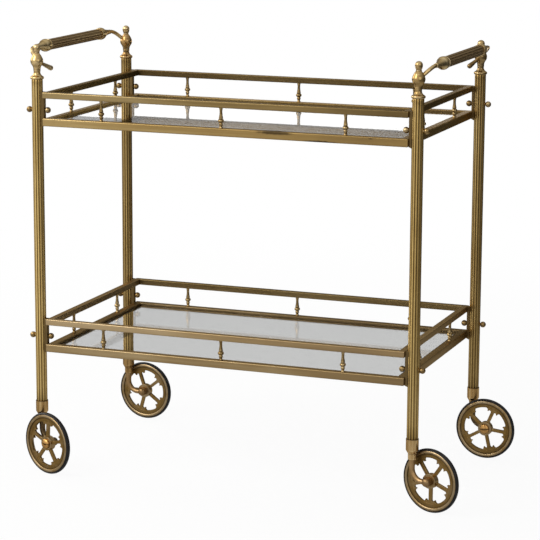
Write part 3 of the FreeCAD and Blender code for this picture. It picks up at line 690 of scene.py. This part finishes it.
# a short foot, a swelling neck and the upper half of a ball
def turnKnob(base):
    ball = knob["ball"]
    line = contour(*knob["foot"], (knob["neckSwell"], ball, knob["ballHeight"]),
                   (arcBulge(ball, ball, 0), 0, knob["ballHeight"] + ball), ease=0.3)
    return lathe(line, base, turns=48)


# a stem out of the finial's ball that widens to a round end, turned about its own slanting axis
def turnLever(ball, sideX, sideY):
    way = np.array((-sideX * lever["inward"], -sideY * lever["along"], -lever["drop"]))
    reach = np.linalg.norm(way)
    stem, end = lever["stem"], lever["end"]
    line = contour((0, lever["start"]), (stem, lever["start"]), (stem, finial["ball"]), (end, reach),
                   (arcBulge(end, end, 0), 0, reach + end), ease=0.6)
    return lathe(line, ball, way, turns=36)


knobs = []
levers = []
for name, (sideX, sideY) in corners.items():
    base = np.array((sideX * legX, sideY * legY, legTop))
    addPiece(name + "Finial", [turnFinial(base)], turnedBrass[name], "antique_brass", "cart",
             name + "_finial")
    knobs.append(turnKnob(base + (0, 0, finial["height"])))
    levers.append(turnLever(base + (0, 0, finial["ballHeight"]), sideX, sideY))
addPiece("finialKnobs", knobs, turnedBrass["knobs"], "fitting_brass", "cart", "finial_knobs")
addPiece("clampLevers", levers, pieceBrass["fitting"], "fitting_brass", "cart", "clamp_levers")
print("finials turned")


# Handles: bulb-shaped ferrules at the grip's ends and bent rods that run on into the finial balls
ferrule = {"length": 50.0, "bulb": ((0, 0), (10.4, 0), (10.4, 2.4), (9.8, 2.4), (1.9, 8.3, 18.0)), "tip": 4.0,
           "tipHollow": -0.9, "tipEdge": 3.6, "edgeHeight": 0.6}
rod = {"offset": 19.0, "rise": 19.4, "radius": 3.25, "seat": 12.0, "straight": 3.0, "bend": 20.0,
       "angle": 60.0, "past": 4.0, "shortOfBend": 0.98, "afterBend": 0.08}


# the bulb and a hollow taper to a small tip, turned about the grip's axis
def turnFerrule(base, sideY):
    length = ferrule["length"]
    line = contour(*ferrule["bulb"], (ferrule["tipHollow"], ferrule["tip"], length - ferrule["edgeHeight"]),
                   (ferrule["tipEdge"], length), (0, length), ease=0.45)
    return lathe(line, base, (0, sideY, 0), turns=56)


# straight run, an arc of start + radius * (sin along, 1 - cos down), and a straight run on from the arc's end
def bendRod(sideX, sideY, gripEnd):
    ball = np.array((sideX * legX, sideY * legY, legTop + finial["ballHeight"]))
    along = np.array((0, sideY, 0), float)
    down = np.array((-sideX * rod["offset"], 0, -rod["rise"]))
    fall = np.linalg.norm(down)
    down = down / fall
    bend = math.radians(rod["angle"])
    start = np.array((ball[0] + sideX * rod["offset"], sideY * (gripEnd + ferrule["length"]),
                      ball[2] + rod["rise"]))
    bendStart = start + along * rod["straight"]
    seat = start - along * rod["seat"]
    first = seat + np.linspace(0, rod["shortOfBend"], 6)[:, None] * (bendStart - seat)
    turn = np.linspace(0, bend, 25)[:, None]
    arc = bendStart + rod["bend"] * (np.sin(turn) * along + (1 - np.cos(turn)) * down)
    lower = (fall - rod["bend"] * (1 - math.cos(bend))) / math.sin(bend) + rod["past"]
    entry = along * math.cos(bend) + down * math.sin(bend)
    last = arc[-1] + np.linspace(rod["afterBend"], 1, 8)[:, None] * entry * lower
    return tube(np.concatenate((first, arc, last)), rod["radius"], np.cross(along, down))


for side, sideX in (("left", -1), ("right", 1)):
    x, _, z = middle(side + "_handle_grip")
    gripEnd = span(side + "_handle_grip")[1][1]
    ferrules = [turnFerrule((x, sideY * gripEnd, z), sideY) for sideY in (-1, 1)]
    rods = [bendRod(sideX, sideY, gripEnd) for sideY in (-1, 1)]
    addPiece(side + "Ferrules", ferrules, pieceBrass["ferrule"], "antique_brass", "cart",
             side + "_handle_ferrules")
    addPiece(side + "Rods", rods, pieceBrass["handle"], "antique_brass", "cart", side + "_handle_rods")
print("handles bent")


# Casters: swivel angle of the trail from +X, side and turn of the wheel, and tilt of the screw's slot
casters = {
    "front_left": {"swivel": -21.5, "side": -1, "turn": 33.0, "slot": 1.9},
    "front_right": {"swivel": -18.0, "side": 1, "turn": 0.0, "slot": -8.0},
    "rear_left": {"swivel": -6.5, "side": 1, "turn": -16.0, "slot": -12.8},
    "rear_right": {"swivel": -3.0, "side": -1, "turn": 13.0, "slot": -4.1},
}
# dark relief: a real dark joint at the top of each socket, and painted shade in the rim's groove and the
# screw's slot
jointAndShadeRelief = -0.9  # relief of dark joints and grooves
socket = {"height": 35.0, "bore": 4.05, "neck": 7.0, "neckHeight": 9.7, "body": 10.7, "bodyHeight": 16.0,
          "joint": 1.6}
socketFoot = legFoot - socket["height"]


# a neck, a cone and the round body up to the leg, with a dark joint at the top
def turnSocket():
    bore, neck, body = socket["bore"], socket["neck"], socket["body"]
    line = contour((bore, socketFoot), (neck, socketFoot), (neck, socketFoot + socket["neckHeight"]),
                   (body, socketFoot + socket["bodyHeight"]), (body, legFoot), (bore, legFoot),
                   ease=0.5, loop=True)
    line[:, 2] = np.where(line[:, 1] > legFoot - socket["joint"], jointAndShadeRelief, line[:, 2])
    return lathe(line, (0, 0, 0), turns=56, ring=True)


arm = {"axle": 54.4, "trail": 29.0, "bend": 20.0, "top": 5.2, "end": 4.3, "gap": 0.4}
boss = {"radius": 7.2, "back": -6.0, "edge": -2.2, "front": 6.8, "swell": 1.6, "relief": -0.3}
stem = {"radius": 4.0, "root": 3.0, "length": 34.0}


# down from the socket, round a quarter circle and out to the axle, with a boss there and the stem above
def bendArm(side):
    axle, bend, trail = arm["axle"], arm["bend"], arm["trail"]
    top = socketFoot - arm["gap"]
    turn = np.linspace(0, np.pi / 2, 28)
    fall = np.linspace(top, axle + bend, 10, endpoint=False)
    out = np.linspace(bend, trail, 8)[1:]
    x = np.concatenate((np.zeros_like(fall), bend * (1 - np.cos(turn)), out))
    z = np.concatenate((fall, axle + bend * (1 - np.sin(turn)), np.full_like(out, axle)))
    path = np.column_stack((x, np.zeros_like(x), z))
    walked = np.concatenate(([0], np.cumsum(np.linalg.norm(np.diff(path, axis=0), axis=1))))
    radius = arm["top"] + (arm["end"] - arm["top"]) * walked / walked[-1]
    knuckle = contour((0, boss["back"]), (boss["swell"], boss["radius"], boss["edge"]),
                      (boss["radius"], boss["front"]), (0, boss["front"]), ease=0.5)
    knuckle[:, 2] = boss["relief"]
    low, high = top - stem["root"], top + stem["length"]
    pivot = contour((0, low), (stem["radius"], low), (stem["radius"], high), (0, high), ease=0.4)
    return [tube(path, radius, (0, 1, 0), turns=40), lathe(knuckle, (trail, 0, axle), (0, side, 0), turns=48),
            lathe(pivot, (0, 0, 0), turns=32)]


# radii, heights along a spoke and half widths; a bead stands on both faces of the rim
wheel = {"plane": 14.2, "outer": 51.35, "inner": 39.35, "band": 2.7, "bead": 45.6, "beadFoot": 0.5,
         "beadTop": 4.7, "flange": 51.45, "groove": 0.8, "paintedShade": 0.25, "hub": 12.5, "hubInner": 7.0,
         "hubOuter": 4.2, "hubRelief": 0.8, "bore": 3.05}
spoke = {"count": 5, "half": 2.8, "root": 9.0, "cusp": 2.6, "tip": 1.3, "tipHeight": 32.35, "foot": 13.2,
         "footDepth": 4.0, "footHollow": -1.1, "web": 2.4, "round": 0.2, "edgeRelief": 0.8,
         "faceRelief": 0.25}
tyre = {"radius": 54.4, "half": 4.7, "side": 3.5, "gap": 0.05}


# one spoke: an outline of side and height, with a pair of cusps before the rim, carried through the web's
# thickness and drawn in along its normals at both faces
def spokeShape(angle):
    edge, root, cusp, foot = (spoke[key] for key in ("half", "root", "cusp", "foot"))
    tipHeight, hollow, web = (spoke[key] for key in ("tipHeight", "footHollow", "web"))
    tipSide = edge + 2 * cusp
    tipEnd = tipSide + spoke["tip"]
    footHeight = math.sqrt(wheel["inner"] ** 2 - foot ** 2)
    footEnd = footHeight + spoke["footDepth"]
    line = contour((edge, root), (edge, tipHeight), (-cusp, tipSide, tipHeight), (tipEnd, tipHeight),
                   (hollow, foot, footHeight), (foot, footEnd), (-foot, footEnd), (-foot, footHeight),
                   (hollow, -tipEnd, tipHeight), (-tipSide, tipHeight), (-cusp, -edge, tipHeight),
                   (-edge, root), ease=0.6, loop=True)
    way = np.roll(line[:, :2], -1, axis=0) - np.roll(line[:, :2], 1, axis=0)
    way = way / np.linalg.norm(way, axis=1)[:, None]
    cut, depth = roundedEdges(-web, web, spoke["round"], steps=5)
    aside = line[:, 0] - cut * way[:, 1]
    height = line[:, 1] + cut * way[:, 0]
    grid = np.empty((len(depth), len(line), 3))
    grid[..., 0] = height * math.cos(angle) - aside * math.sin(angle)
    grid[..., 1] = depth
    grid[..., 2] = height * math.sin(angle) + aside * math.cos(angle)
    rim = np.tile(np.sin(np.linspace(0, np.pi, 5)), 2)[:, None]
    return skin(grid, rim * spoke["edgeRelief"] + spoke["faceRelief"] * line[:, 2] * (1 - rim))


# the rim's section with a round bead on each face and the hub's section, both turned about the axle, and the
# spokes at even angles, the first one straight down before the wheel's own turn
def spokedWheel(side, turn):
    outer, inner, bead, band, flange = (wheel[key] for key in ("outer", "inner", "bead", "band", "flange"))
    lip = tyre["side"] + tyre["gap"]
    foot = band + wheel["beadFoot"]
    rise = wheel["beadTop"] - foot
    rim = contour((inner, -band), (bead, -band), (bead, -foot), (rise, flange, -foot), (flange, -lip),
                  (outer, -lip), (outer, lip), (flange, lip), (flange, foot), (rise, bead, foot),
                  (bead, band), (inner, band), ease=0.4, loop=True)
    # the bead grows brighter towards its top, a painted highlight, and the band inside it is darker, a
    # painted shade
    wearAndHighlight = np.clip((np.abs(rim[:, 1]) - band) / rise, 0, 1)
    rim[:, 2] = np.where(rim[:, 0] > bead, wearAndHighlight, -wheel["paintedShade"])
    # a dark line in the groove at the bead's foot: painted shade
    rim[:, 2] = np.where(np.abs(rim[:, 0] - bead) < wheel["groove"], jointAndShadeRelief, rim[:, 2])
    bore, hub = wheel["bore"], wheel["hub"]
    nave = contour((bore, -wheel["hubInner"]), (hub, -wheel["hubInner"]), (hub, wheel["hubOuter"]),
                   (bore, wheel["hubOuter"]), ease=0.8, loop=True)
    nave[:, 2] = np.maximum(nave[:, 2], wheel["hubRelief"])
    angles = np.arange(spoke["count"]) * 2 * math.pi / spoke["count"] - math.pi / 2 + math.radians(turn)
    return [lathe(rim, (0, 0, 0), (0, 1, 0), turns=160, ring=True),
            lathe(nave, (0, 0, 0), (0, side, 0), turns=64, ring=True),
            *(spokeShape(angle) for angle in angles)]


# a band on the rim and a tread of one arc over it, turned about the axle
def rubberTyre():
    inner = wheel["outer"] + tyre["gap"]
    flange = wheel["flange"] + tyre["gap"]
    half, side = tyre["half"], tyre["side"]
    line = contour((inner, -side), (flange, -side), (flange, -half), (tyre["radius"] - flange, flange, half),
                   (flange, side), (inner, side), ease=0.25, loop=True)
    return [lathe(line, (0, 0, 0), (0, 1, 0), turns=160, ring=True)]


# a dome of height * root(1 - (r / radius)^2) on a short rim, lowered to the slot's floor where the side is
# within its width, and a plain shank behind
screw = {"radius": 8.5, "rim": 1.0, "rimSteps": (0, 0.5, 0.95), "dome": 3.6, "slot": 1.15, "slotEdge": 0.3,
         "depth": 1.7, "seat": 18.8, "shank": 2.9, "shankBack": -5.2, "shankFront": 19.3}


def axleScrew(side, tilt):
    radius, rim, dome, seat = (screw[key] for key in ("radius", "rim", "dome", "seat"))
    shank, back, front = (screw[key] for key in ("shank", "shankBack", "shankFront"))
    climb = np.linspace(0, np.pi / 2, 40)
    reach = np.concatenate((np.full(len(screw["rimSteps"]), radius), radius * np.cos(climb)))
    lift = np.concatenate((rim * np.array(screw["rimSteps"]), rim + dome * np.sin(climb)))
    turn = fullTurn(128)
    x = reach[:, None] * np.cos(turn)
    z = reach[:, None] * np.sin(turn)
    across = x * math.sin(math.radians(tilt)) + z * math.cos(math.radians(tilt))
    inside = np.clip((screw["slot"] - np.abs(across)) / screw["slotEdge"], 0, 1)
    slotFloor = rim + dome - screw["depth"]
    lift = lift[:, None] - inside * np.clip(lift[:, None] - slotFloor, 0, None)
    head = np.stack((x, side * (seat + lift), z), -1)
    foot = np.stack((x[0], np.full_like(turn, side * seat), z[0]), -1)[None]
    # the slot is darkened: painted shade
    shade = np.concatenate((np.zeros((1, len(turn))), jointAndShadeRelief * inside))
    line = contour((0, back), (shank, back), (shank, front), (0, front), ease=0.3)
    return [skin(np.concatenate((foot, head)), shade), lathe(line, (0, 0, 0), (0, side, 0), turns=24)]


for name, (sideX, sideY) in corners.items():
    swivel, side, turn, slot = casters[name].values()
    legPlace = (sideX * legX, sideY * legY, 0)
    axlePlace = (arm["trail"], 0, arm["axle"])
    wheelPlace = (arm["trail"], side * wheel["plane"], arm["axle"])
    pin = moved(axleScrew(side, slot), 0, axlePlace)
    spoked = moved(spokedWheel(side, turn), 0, wheelPlace)
    tread = moved(rubberTyre(), 0, wheelPlace)
    # arms behind their wheel take the darker copy: painted shade
    armFinish = pieceBrass["arm" if side > 0 else "shadedArm"]
    addPiece(name + "Socket", moved([turnSocket()], 0, legPlace), pieceBrass["socket"], "caster_brass",
             "cart", name + "_caster_socket")
    addPiece(name + "Arm", moved(bendArm(side), swivel, legPlace), armFinish, "caster_brass",
             name + "_caster", name + "_caster_arm")
    addPiece(name + "Screw", moved(pin, swivel, legPlace), pieceBrass["screw"], "caster_brass",
             name + "_caster", name + "_axle_screw")
    addPiece(name + "Wheel", moved(spoked, swivel, legPlace), pieceBrass["wheel"], "caster_brass",
             name + "_wheel", name + "_wheel")
    addPiece(name + "Tyre", moved(tread, swivel, legPlace), rubber, "black_rubber",
             name + "_wheel", name + "_tyre")
print("casters built")


# the remaining pieces keep the shape of the solids
for piece in nodes.values():
    for slot in piece.material_slots:
        slot.material = pieceBrass["fitting"]
nodes["corner_posts"].material_slots[0].material = pieceBrass["post"]
nodes["glass_ledges"].material_slots[0].material = trayBrass("lowerFrame", "long")
print("finishes on the fittings")


# Studio: a white floor that fades into a white room, and soft light from the left
studio = {"roomLight": 0.5, "lampAim": (0, 0, 0.4)}
floor = {"radius": 2.4, "show": 0.93, "fade": (0.3, 0.98), "nearGlow": 0.55, "roomFrom": (0.6, 2.0),
         "pale": (0.9, 0.9, 0.9), "duller": (0.8, 0.8, 0.8), "grain": 300, "grainShare": 0.02}

# what shiny pieces see round about: brightest at the front left, bright above, faint at the right and behind
roomGlow = {"least": 0.05, "lobes": (
    {"axis": (-0.60, -0.79, 0.12), "power": 1.3, "level": 0.95},
    {"axis": (0.75, -0.65, 0.12), "power": 2.0, "level": 0.20},
    {"axis": (-0.1, -0.15, 0.98), "power": 1.0, "level": 0.75},
    {"axis": (-0.2, 0.75, 0.63), "power": 3.0, "level": 0.2})}


# the least glow, and for each lobe its level times the cosine to its axis raised to its power
def roomShade(flow, way):
    shade = roomGlow["least"]
    for lobe in roomGlow["lobes"]:
        facing = flow.node("VectorMath", {"operation": "DOT_PRODUCT"}, {0: way, 1: lobe["axis"]}, "Value")
        shade = shade + facing.clipped() ** lobe["power"] * lobe["level"]
    return shade


# 1 for what the camera sees, also through glass, and 1 for what is mirrored
def viewRays(flow):
    camera, through, mirrored = (flow.node("LightPath", {}, {}, "Is " + kind + " Ray")
                                 for kind in ("Camera", "Transmission", "Glossy"))
    return (camera + through).clipped(), mirrored


def buildRoom():
    world = bpy.data.worlds.new("studioRoom")
    world.use_nodes = True
    world.node_tree.nodes.clear()
    scene.world = world
    flow = Flow(world.node_tree)
    way = flow.node("TexCoord", {}, {}, "Generated")
    seen, shiny = viewRays(flow)
    level = studio["roomLight"] * (1.0 - seen) * (1.0 - shiny) + seen
    level = level + shiny * (1.0 - seen) * roomShade(flow, way)
    flow.node("OutputWorld", {}, {"Surface": flow.node("Background", {}, {"Color": level.grey()})})


def stagePiece(name, points, material):
    mesh = bpy.data.meshes.new(name)
    mesh.from_pydata(points.tolist(), [], [list(range(len(points)))])
    mesh.materials.append(material)
    piece = bpy.data.objects.new(name, mesh)
    scene.collection.objects.link(piece)
    return piece


# a flat disc: radius times the cosine and sine of the turn
def buildFloor():
    turn = fullTurn(96)
    points = np.column_stack((np.cos(turn), np.sin(turn), np.zeros_like(turn))) * floor["radius"]
    material, flow = newMaterial("palePaper")
    spot = flow.node("TexCoord", {}, {}, "Object")
    away = flow.node("VectorMath", {"operation": "LENGTH"}, {0: spot}, "Value")
    way = flow.node("VectorMath", {"operation": "NORMALIZE"}, {0: spot})
    seen, shiny = viewRays(flow)
    grain = noise(flow, spot, floor["grain"], detail=3) * floor["grainShare"]
    paper = flow.node("BsdfDiffuse", {}, {"Color": grain.blend(floor["pale"], floor["duller"])})
    far = away.step(*floor["roomFrom"])
    mirrored = far * roomShade(flow, way) + (1.0 - far) * floor["nearGlow"]
    level = seen + shiny * (1.0 - seen) * mirrored
    glow = flow.node("Emission", {}, {"Color": level.grey()})
    fade = away.step(*(floor["radius"] * share for share in floor["fade"]))
    share = (seen + shiny).clipped() * (floor["show"] + fade * (1.0 - floor["show"]))
    surface(flow, flow.node("MixShader", {}, {0: share, 1: paper, 2: glow}))
    stagePiece("studioFloor", points, material)


# white cards behind the trays, seen only in polished pieces: lowest and highest level, and how bright
cards = {"y": 0.6, "left": -0.95, "right": 0.45,
         "rows": {"upperCard": (0.65, 0.722, 1.55), "lowerCard": (0.29, 0.46, 0.12)}}


def hangCards():
    left, right = cards["left"], cards["right"]
    for name, (low, high, bright) in cards["rows"].items():
        outline = ((left, low), (right, low), (right, high), (left, high))
        material, flow = newMaterial(name)
        surface(flow, flow.node("Emission", {}, {"Color": (1, 1, 1), "Strength": bright}))
        card = stagePiece(name, np.array([(x, cards["y"], z) for x, z in outline]), material)
        for ray in ("camera", "diffuse", "transmission", "shadow"):
            setattr(card, "visible_" + ray, False)


lamps = [
    {"name": "keyLamp", "place": (-1.9, -2.3, 2.5), "size": 1.9, "power": 56, "colour": (1.0, 0.98, 0.95)},
    {"name": "sideLamp", "place": (-2.6, 0.6, 1.5), "size": 1.6, "power": 30, "colour": (1.0, 0.99, 0.97)},
    {"name": "fillLamp", "place": (2.2, -2.0, 1.6), "size": 1.8, "power": 10, "colour": (0.97, 0.98, 1.0)},
]


def hangLamps():
    for lamp in lamps:
        light = bpy.data.lights.new(lamp["name"], "AREA")
        light.size = lamp["size"]
        light.energy = lamp["power"]
        light.color = lamp["colour"]
        holder = bpy.data.objects.new(lamp["name"], light)
        scene.collection.objects.link(holder)
        spot = Vector(lamp["place"])
        aim = (spot - Vector(studio["lampAim"])).to_track_quat("Z", "Y").to_matrix().to_4x4()
        holder.matrix_world = Matrix.Translation(spot) @ aim


buildRoom()
buildFloor()
hangCards()
hangLamps()
print("studio lit by", len(lamps), "lamps")
